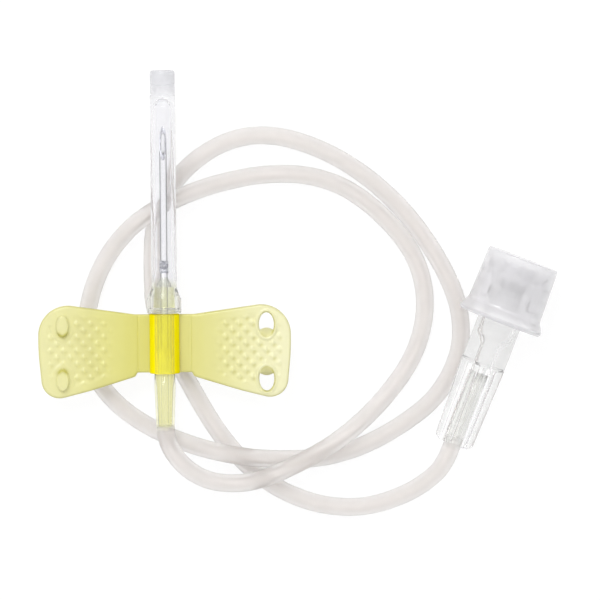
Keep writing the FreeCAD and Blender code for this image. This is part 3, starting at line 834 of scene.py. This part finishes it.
def socket_points(station):
    """Closed outline of one socket: the oval, cut short towards the middle of the wing."""
    inward = -1 if station > 0 else 1
    limit = PEG_LONG / 2 - SOCKET_FILL
    points = []
    for point in oval_points(station, SOCKET_FIT, 64):
        along = (point.y - station) * inward
        if along > limit:
            sag = 0.28 * math.cos((point.x - PEG_X) / PEG_WIDE * math.pi)
            point = Vector((point.x, station + inward * (limit - sag)))
        points.append(point)
    return points


def distance_to_loop(places, loop):
    """Distance of each place from a closed line, and whether it lies inside."""
    start = np.array([tuple(point) for point in loop])
    end = np.roll(start, -1, axis=0)
    run = end - start
    length = np.maximum((run ** 2).sum(1), 1e-12)
    nearest = np.full(len(places), 1e9)
    inside = np.zeros(len(places), bool)
    for (sx, sy), (rx, ry), size, (ex, ey) in zip(start, run, length, end):
        share = np.clip(((places[:, 0] - sx) * rx + (places[:, 1] - sy) * ry) / size, 0, 1)
        gap = np.hypot(places[:, 0] - sx - share * rx, places[:, 1] - sy - share * ry)
        nearest = np.minimum(nearest, gap)
        crosses = (sy > places[:, 1]) != (ey > places[:, 1])
        if ey != sy:
            at = sx + (places[:, 1] - sy) * rx / (ey - sy)
            inside ^= crosses & (places[:, 0] < at)
    return nearest, inside


def smooth_step(values, low, high):
    """The same step as eased, for many values at once."""
    share = np.clip((values - low) / (high - low), 0, 1)
    return share * share * (3 - 2 * share)


def wing_half_thickness(x):
    """Half of the wing's thickness: hinge strip, thin root, then the full plate."""
    strip = STRIP_THICK / 2
    root = ROOT_THICK / 2
    full = WING_THICK / 2
    half = strip + (root - strip) * smooth_step(x, HINGE_X - 0.25, HINGE_X)
    return half + (full - root) * np.clip((x - HINGE_X) / (WING_ROOT_END - HINGE_X), 0, 1)


def studs(x, y):
    """Height of the grip pattern: rows of small rounded studs, every other row set over."""
    row = np.round(y / (STUD_PITCH / 2))
    shift = np.where(row % 2 == 0, 0.0, STUD_PITCH / 2)
    column = np.round((x - shift) / STUD_PITCH)
    across = x - shift - column * STUD_PITCH
    along = y - row * STUD_PITCH / 2
    gap = np.abs(across) + np.abs(along)
    return STUD_HIGH * (1 - smooth_step(gap, 0.05, STUD_R))


def inner_rows(outline):
    """Rows of points just inside the outline, for its rounded edge."""
    rows = []
    for depth in (0.03, 0.09, 0.18, 0.3):
        moved = []
        for index, point in enumerate(outline):
            run = (outline[(index + 1) % len(outline)] - outline[index - 1]).normalized()
            moved.append(point + Vector((-run.y, run.x)) * depth)
        spots = np.array([tuple(point) for point in moved])
        gap, inside = distance_to_loop(spots, outline)
        rows.extend(Vector(spot) for spot in spots[inside & (gap > depth * 0.9)])
    return rows


def grid_points(outline, pegs):
    """Fine grid inside the outline, clear of the hinge and of the rims round pegs or sockets."""
    grid_x = np.arange(SLEEVE_R, WING_REACH, GRID)
    grid_y = np.arange(*GRID_Y, GRID)
    mesh_x, mesh_y = np.meshgrid(grid_x, grid_y)
    mesh_x = mesh_x + np.where(np.arange(len(grid_y)) % 2 == 0, 0.0, GRID / 2)[:, None]
    places = np.stack([mesh_x.ravel(), mesh_y.ravel()], axis=1)
    gap, inside = distance_to_loop(places, outline)
    keep = inside & (gap > 0.08) & (np.abs(places[:, 0] - HINGE_X) > 0.27)
    for station in PEG_STATIONS:
        ring_gap, ring_inside = distance_to_loop(places, oval_points(station, 0.12))
        keep &= (ring_gap > 0.1) if pegs else (~ring_inside & (ring_gap > 0.08))
    return [Vector(place) for place in places[keep]]


def wing_points(outline, holes, pegs):
    """All points of a wing's flat mesh, and the edges that it has to keep."""
    points = []
    edges = []
    for loop in [outline] + holes:
        first = len(points)
        points.extend(loop)
        edges.extend((first + number, first + (number + 1) % len(loop)) for number in range(len(loop)))
    points.extend(inner_rows(outline))
    for station in PEG_STATIONS:
        for grow in RIMS_ON_PEGS if pegs else RIMS_ON_SOCKETS:
            points.extend(oval_points(station, grow))
    hinge_line = np.arange(0.25 - STRIP_HALF, STRIP_HALF - 0.2, 0.2)
    for across in (-0.2, -0.11, -0.05, 0.0, 0.05, 0.11, 0.2):
        points.extend(Vector((HINGE_X + across, along)) for along in hinge_line)
    points.extend(grid_points(outline, pegs))
    return points, edges


def flat_wing(outline, holes, pegs):
    """Flat mesh of a wing inside its outline and outside its sockets."""
    points, edges = wing_points(outline, holes, pegs)
    made = delaunay_2d_cdt(points, edges, [], 0, 1e-5, True)
    flat = np.array([tuple(vert) for vert in made[0]])
    triangles = np.array([tuple(face) for face in made[2]])
    centres = flat[triangles].mean(axis=1)
    wanted = distance_to_loop(centres, outline)[1]
    for hole in holes:
        wanted &= ~distance_to_loop(centres, hole)[1]
    used, numbers = np.unique(triangles[wanted], return_inverse=True)
    return flat[used], [tuple(face) for face in numbers.reshape(-1, 3).tolist()]


def peg_forms(flat, pegs):
    """Relief of pegs or sockets, the room that the grip pattern leaves them, and the painted shade beside
    them.
    """
    x, y = flat[:, 0], flat[:, 1]
    raised = np.zeros(len(flat))
    around = np.ones(len(flat))
    marks = np.zeros(len(flat))
    for station in PEG_STATIONS:
        oval_gap, oval_inside = distance_to_loop(flat, oval_points(station, 0.0, 80))
        signed = np.where(oval_inside, -oval_gap, oval_gap)
        around *= smooth_step(signed, SOCKET_RIM - 0.15, SOCKET_RIM + 0.15)
        inward = (y - station) * (-1 if station > 0 else 1)
        if pegs:
            raised = np.maximum(raised, PEG_HIGH * (1 - smooth_step(signed, -0.2, 0.02)))
            # Painted shade: a dark crescent at the inner end of each peg
            crescent_shade = np.exp(-((signed + 0.18) / 0.26) ** 2) * smooth_step(inward, 0.5, 1.1)
            marks = np.maximum(marks, 0.9 * crescent_shade)
        else:
            raised += RIM_HIGH * np.exp(-((signed - 0.34) / 0.13) ** 2)
            # Painted shade: a dark line along the outer side of each socket, and darker yellow at its
            # filled end
            line = np.exp(-((signed - 0.1) / 0.12) ** 2) * smooth_step(x - PEG_X - inward * 0.4, -0.3, 0.4)
            blob_shade = smooth_step(inward, PEG_LONG / 2 - SOCKET_FILL, PEG_LONG / 2 - 0.2) * (signed < 0.15)
            marks = np.maximum(marks, np.maximum(0.9 * line, 0.55 * blob_shade))
    return raised, around, marks


def closed_plate(name, sign, flat, triangles, top, bottom):
    """Closed mesh between the upper and the lower heights of a flat one."""
    verts = []
    for heights in (top, bottom):
        verts.extend((sign * x, y, z - WING_DROP) for (x, y), z in zip(flat, heights))
    count = len(flat)
    faces = list(triangles)
    faces += [(a + count, c + count, b + count) for a, b, c in triangles]
    seen = {}
    for face in triangles:
        for first, second in zip(face, face[1:] + face[:1]):
            key = (min(first, second), max(first, second))
            seen[key] = seen.get(key, 0) + 1
    faces += [(a, b, b + count, a + count) for (a, b), times in seen.items() if times == 1]
    return make_object(name, verts, faces, WINGS)


def wing_outline():
    """Plan outline of a wing and its hinge strip, from inside the sleeve."""
    root_x = SLEEVE_R - 0.12
    neck_x, neck_y = WING_NECK
    side_y = (WING_FRONT_Y + WING_BACK_Y) / 2
    return outline_points([
        (root_x, -STRIP_HALF, 0), (neck_x - 0.25, -STRIP_HALF, WING_NECK_R / 2),
        (neck_x, neck_y, WING_NECK_R), (*WING_SWEEP, WING_SWEEP_R),
        (WING_REACH - WING_BACK_IN, WING_BACK_Y, WING_BACK_R), (WING_REACH, side_y, WING_SIDE_R),
        (WING_REACH, WING_FRONT_Y, WING_FRONT_R), (neck_x + 0.05, STRIP_HALF, WING_FRONT_R),
        (root_x, STRIP_HALF, 0)])


def make_wing(side, pegs):
    """One wing with its hinge strip. The left wing has pegs, the right one sockets."""
    outline = wing_outline()
    holes = [] if pegs else [socket_points(station) for station in PEG_STATIONS]
    flat, triangles = flat_wing(outline, holes, pegs)
    x, y = flat[:, 0], flat[:, 1]
    sign = -1 if side == "left" else 1
    stud_share, lee_shade_share, painted_light_start, painted_light_end = PEG_WING_LOOK if pegs else SOCKET_WING_LOOK

    half = wing_half_thickness(x)
    outline_gap = distance_to_loop(flat, outline)[0]
    edge_gap = np.where(x < SLEEVE_R + 0.2, np.inf, outline_gap)
    for hole in holes:
        edge_gap = np.minimum(edge_gap, distance_to_loop(flat, hole)[0] * 1.6)
    rounding = np.minimum(half * 0.9, EDGE_R)
    drop = rounding - np.sqrt(np.maximum(rounding ** 2 - np.maximum(rounding - edge_gap, 0) ** 2, 0))

    raised, around, marks = peg_forms(flat, pegs)
    raised -= NOTCH_DEPTH * np.exp(-((x - HINGE_X) / 0.09) ** 2)
    panel = around * smooth_step(outline_gap, PANEL_MARGIN - 0.35, PANEL_MARGIN + 0.5)
    panel *= smooth_step(x, WING_ROOT_END, WING_ROOT_END + 3.2)
    grip = panel * smooth_step(x, WING_ROOT_END + 0.2, WING_ROOT_END + 3.2)
    top = half - drop - PANEL_DEPTH * panel + stud_share * studs(x, y) * grip + raised

    # Painted shade on the studs' far side from the lamp
    lee = studs(x - sign * 0.2, y + 0.26) - studs(x, y)
    shade = np.maximum(lee_shade_share * np.clip(lee / STUD_HIGH, 0, 1) * grip, marks)
    # Painted shade along the wing's rounded edge
    shade = np.maximum(shade, 0.5 * np.exp(-(outline_gap / 0.16) ** 2) * (x > WING_ROOT_END))
    # Painted shade near the sleeve and painted light towards the outer end, stronger on the socket wing
    painted_paleness = painted_light_start + (painted_light_end - painted_light_start) * smooth_step(x, SLEEVE_R, WING_REACH)

    body = "wing_" + side
    obj = closed_plate(body + "_soft", sign, flat, triangles, top, drop - half)
    store(obj, "painted_light", np.tile(painted_paleness, 2))
    store(obj, "shade", np.tile(shade, 2))
    obj.data.materials.append(WING_YELLOW)
    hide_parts(body)
    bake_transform(obj)


make_wing("left", True)
make_wing("right", False)


# Needle cover

def cover_skin(radius, station):
    """Haze on the cover's outside, thicker round its mouth and most at its far end."""
    if radius <= COVER_SEAT_R + 0.05 and station <= COVER_STEP + 0.4:
        return 0.0
    far_end = eased(station, COVER_STEP - 0.6, COVER_STEP + 1.9)
    mouth = 1 - eased(station, COVER_NECK - 0.15, COVER_NECK + 1.25)
    return 1 + 4.9 * far_end + 0.9 * mouth


def cover_tinge(radius, station):
    """Yellow that the hub lends the cover round its nose."""
    share = 0.9 if radius < COVER_R - 0.1 else 0.25
    neck = 0.5 + 0.5 * eased(station, NECK_END - 0.25, NECK_END + 0.05)
    return share * neck * (1 - eased(station, NOSE_END - 0.06, NOSE_END + 0.34))


def make_cover():
    """Clear closed tube with a flared mouth and a fine bore over the needle."""
    mouth = SLEEVE_HALF + 0.12
    outline = [
        (COUNTERBORE_R, mouth, 0.05), (COVER_MOUTH_R, mouth, 0.15), (COVER_MOUTH_R, COVER_MOUTH_END, 0.12),
        (COVER_MOUTH_R - 0.1, COVER_MOUTH_END + 0.03, 0.05), (COVER_R, COVER_NECK, 0.6),
        (COVER_R, COVER_NECK + 1.45), (COVER_R, COVER_STEP - 0.7), (COVER_R, COVER_STEP, 0.05),
        (COVER_END_R, COVER_STEP + 0.15, 0.05), (COVER_END_R, COVER_GROOVE - 0.08, 0.03),
        (COVER_END_R - 0.05, COVER_GROOVE, 0.03), (COVER_END_R, COVER_GROOVE + 0.08, 0.03),
        (COVER_END_R, COVER_TOP, 0.45), (0, COVER_TOP), (0, COVER_BORE_TOP),
        (0.52, COVER_BORE_TOP - 0.21, 0.2), (COVER_BORE_R, COVER_BORE_TOP - 1.05, 0.5),
        (COVER_BORE_R, COVER_SEAT_END + 1.7, 0.4), (COVER_SEAT_R, COVER_SEAT_END, 0.3),
        (COVER_SEAT_R, COUNTERBORE_END + 0.15, 0.05), (COUNTERBORE_R, COUNTERBORE_END, 0.05),
    ]
    cover = lathe("cover_clear", softened(outline, 0.05), WINGS)
    mark(cover, "skin", WINGS, cover_skin)
    mark(cover, "tinge", WINGS, cover_tinge)
    finish_piece(cover, "needle_cover", COVER_CLEAR, "cover_clear", "needle_cover")


make_cover()


# Connector and cap

def connector_radius(station, angle):
    """Outer radius of the connector: core and fins up to the shoulder, then the body with its lugs."""
    if station > SHOULDER:
        radius = CONNECTOR_R - 0.12 * eased(station, CONNECTOR_TOP - 0.15, CONNECTOR_TOP)
        lug = min(LUG_R, LUG_HALF / max(abs(math.sin(angle)), 1e-3))
        lug_floor = CONNECTOR_TOP - LUG_THICK
        return radius + max(lug - radius, 0) * eased(station, lug_floor, lug_floor + 0.2)
    share = station / SHOULDER
    radius = CORE_R[0] + (CORE_R[1] - CORE_R[0]) * share
    radius -= 0.25 * (1 - eased(station, 0.0, 0.3))
    radius += 0.85 * eased(station, SHOULDER - 0.5, SHOULDER)
    fin_r = FIN_R[0] + (FIN_R[1] - FIN_R[0]) * share - 0.6 * (1 - eased(station, 0.0, 0.7)) ** 2
    for number in range(FIN_COUNT):
        turn = math.radians(FIN_TURN + 360 / FIN_COUNT * number)
        off = (angle - turn + math.pi) % (2 * math.pi) - math.pi
        if abs(off) < math.pi / 3:
            wall = FIN_HALF / max(math.sin(abs(off)), 1e-3)
            radius = max(radius, min(fin_r / math.cos(off), wall))
    return radius


def connector_skin(radius, station):
    """Haze on the connector's body and fins, little of it under the cap."""
    under_cap = eased(station, CAP_MOUTH + 0.03, CAP_MOUTH + 1.03)
    return (radius > LUER_MOUTH_R + 0.06) * (1 - 0.8 * under_cap)


def make_connector():
    """Clear female connector in one skin, with its bores inside."""
    sides = 240
    stations = [0.0, 0.05, 0.15, 0.3, 0.5, 0.8, 1.5, 3.0, 5.0, 7.0, 9.0]
    stations += [SHOULDER + step for step in (-0.65, -0.45, -0.3, -0.15, -0.05, 0.0, 0.05, 0.15)]
    stations += [12.0, 15.0, 18.0, 21.0]
    stations += [CONNECTOR_TOP - step for step in (1.3, 1.18, 1.1, 1.0, 0.85, 0.4, 0.15, 0.1, 0.04, 0.0)]
    luer_floor = CONNECTOR_TOP - LUER_DEPTH
    # The last two corners only close the outline, outside the connector
    bore = softened([
        (LUER_MOUTH_R, CONNECTOR_TOP, 0.08), (LUER_MOUTH_R - LUER_SLOPE * LUER_DEPTH, luer_floor, 0.9),
        (PASSAGE_R, luer_floor - 1.3, 0.9), (PASSAGE_R, TUBE_SEAT_END, 0.03),
        (TUBE_SEAT_R, TUBE_SEAT_END, 0.03), (TUBE_SEAT_R, 0.0, 0.12),
        (PASSAGE_R, -1.0), (PASSAGE_R, -2.0)], 0.05)
    verts = []
    rings = []
    for station in stations:
        rings.append(add_ring(verts, sides, lambda angle: turned(
            connector_radius(station, angle), station)(angle)))
    for radius, station in bore:
        if 0.0 <= station <= CONNECTOR_TOP:
            rings.append(add_ring(verts, sides, turned(radius, station)))
    faces = []
    for ring, following in zip(rings, rings[1:] + rings[:1]):
        faces.extend(joined(ring, following))
    obj = make_object("connector_clear", verts, faces, CONNECTOR)
    obj.data.set_sharp_from_angle(angle=math.radians(40))
    mark(obj, "skin", CONNECTOR, connector_skin)
    finish_piece(obj, "set", CONNECTOR_CLEAR, "connector_clear", "luer_connector")


def cap_skin(radius, station):
    """Haze on the cap: its outside and end, and twice as much on its plug."""
    if station > CAP_TOP - 0.3:
        return 1.0
    if radius < PLUG_R[1] + 0.4:
        return 2.1
    return float(radius > CAP_BORE_R + 0.35)


def make_cap():
    """Frosted cap: skirt with a flared lip, plug and a screw thread inside."""
    roof = CAP_TOP - 1.0
    plug_end = roof - PLUG_LENGTH
    outline = [
        (CAP_LIP_R - 0.25, CAP_MOUTH, 0.1), (CAP_LIP_R, CAP_MOUTH + 0.27, 0.12),
        (CAP_LIP_R, CAP_MOUTH + 0.55, 0.15), (4.9, CAP_MOUTH + 1.55, 0.8), (4.8, CAP_MOUTH + 1.85, 0.8),
        (CAP_END_R, CAP_TOP, 0.25), (0, CAP_TOP), (0, plug_end + DIMPLE_DEPTH),
        (DIMPLE_R, plug_end + DIMPLE_DEPTH, 0.2), (DIMPLE_R + 0.1, plug_end, 0.05),
        (PLUG_R[0], plug_end, 0.2), (PLUG_R[1], roof, 0.1), (CAP_BORE_R, roof, 0.25),
    ]
    for turn in range(THREAD_TURNS):
        station = THREAD_START - THREAD_PITCH * turn
        for deep, step in ((0.0, 0.0), (THREAD_DEPTH, 0.15), (THREAD_DEPTH, 0.25), (0.0, 0.4)):
            outline.append((CAP_BORE_R + deep, station - step, 0.03))
    outline.append((CAP_BORE_R, CAP_MOUTH, 0.1))
    cap = lathe("cap_frosted", softened(outline, 0.1), CONNECTOR, 128)
    mark(cap, "skin", CONNECTOR, cap_skin)
    finish_piece(cap, "luer_cap", CAP_FROSTED, "cap_frosted", "luer_cap")


make_connector()
make_cap()


# Table, backdrop and lamp

def make_stage():
    """White table that keeps the object's shadow, seen as white in the picture and through the plastic."""
    corners = [(x * TABLE_HALF, y * TABLE_HALF, 0) for x, y in ((-1, -1), (1, -1), (1, 1), (-1, 1))]
    mesh = bpy.data.meshes.new("table_top")
    mesh.from_pydata(corners, [], [(0, 1, 2, 3)])
    table = bpy.data.objects.new("table_top", mesh)
    table.location.z = -TABLE_GAP
    bpy.context.scene.collection.objects.link(table)
    made, tree, output = new_material("table_white")
    paint = tree.nodes.new("ShaderNodeBsdfDiffuse")
    grain = noise(tree, 60.0)
    white = tinted(tree, grain, (0.84, 0.84, 0.84), (0.88, 0.88, 0.88))
    tree.links.new(white, paint.inputs["Color"])
    glow = tree.nodes.new("ShaderNodeEmission")
    glow.inputs["Strength"].default_value = 1.06
    path = tree.nodes.new("ShaderNodeLightPath").outputs
    seen = arithmetic(tree, "MAXIMUM", path["Is Camera Ray"], path["Is Glossy Ray"])
    seen = arithmetic(tree, "MAXIMUM", seen, path["Is Transmission Ray"])
    surface = mixed(tree, arithmetic(tree, "MULTIPLY", seen, 0.86), paint, glow)
    dress(tree, output, surface)
    mesh.materials.append(made)


def white_sky(tree, strength):
    """Plain white background."""
    sky = tree.nodes.new("ShaderNodeBackground")
    sky.inputs["Color"].default_value = (1, 1, 1, 1)
    feed(tree, sky.inputs["Strength"], strength)
    return sky


def make_world():
    """Plain light from all round, white where the camera or the plastic looks at it."""
    world = bpy.data.worlds.new("studio")
    bpy.context.scene.world = world
    world.use_nodes = True
    tree = world.node_tree
    tree.nodes.clear()
    output = tree.nodes.new("ShaderNodeOutputWorld")
    place = tree.nodes.new("ShaderNodeTexCoord")
    parts = tree.nodes.new("ShaderNodeSeparateXYZ")
    tree.links.new(place.outputs["Generated"], parts.inputs["Vector"])
    mirrored = white_sky(tree, ranged(tree, parts.outputs["Z"], (0.0, 0.55), (0.45, 1.0)))
    path = tree.nodes.new("ShaderNodeLightPath").outputs
    lit = mixed(tree, path["Is Diffuse Ray"], mirrored, white_sky(tree, 0.75))
    shown = mixed(tree, path["Is Camera Ray"], lit, white_sky(tree, 1.0))
    dress(tree, output, shown)


def make_lamp():
    """Soft square lamp aimed at the middle of the object."""
    data = bpy.data.lights.new("key_lamp", "AREA")
    data.shape = "SQUARE"
    data.size = LAMP_SIZE
    data.energy = LAMP_POWER
    lamp = bpy.data.objects.new("key_lamp", data)
    lamp.location = LAMP_PLACE
    lamp.rotation_mode = "QUATERNION"
    lamp.rotation_quaternion = (-Vector(LAMP_PLACE)).to_track_quat("-Z", "Y")
    bpy.context.scene.collection.objects.link(lamp)


make_stage()
make_world()
make_lamp()

bpy.context.scene.view_settings.view_transform = "Standard"
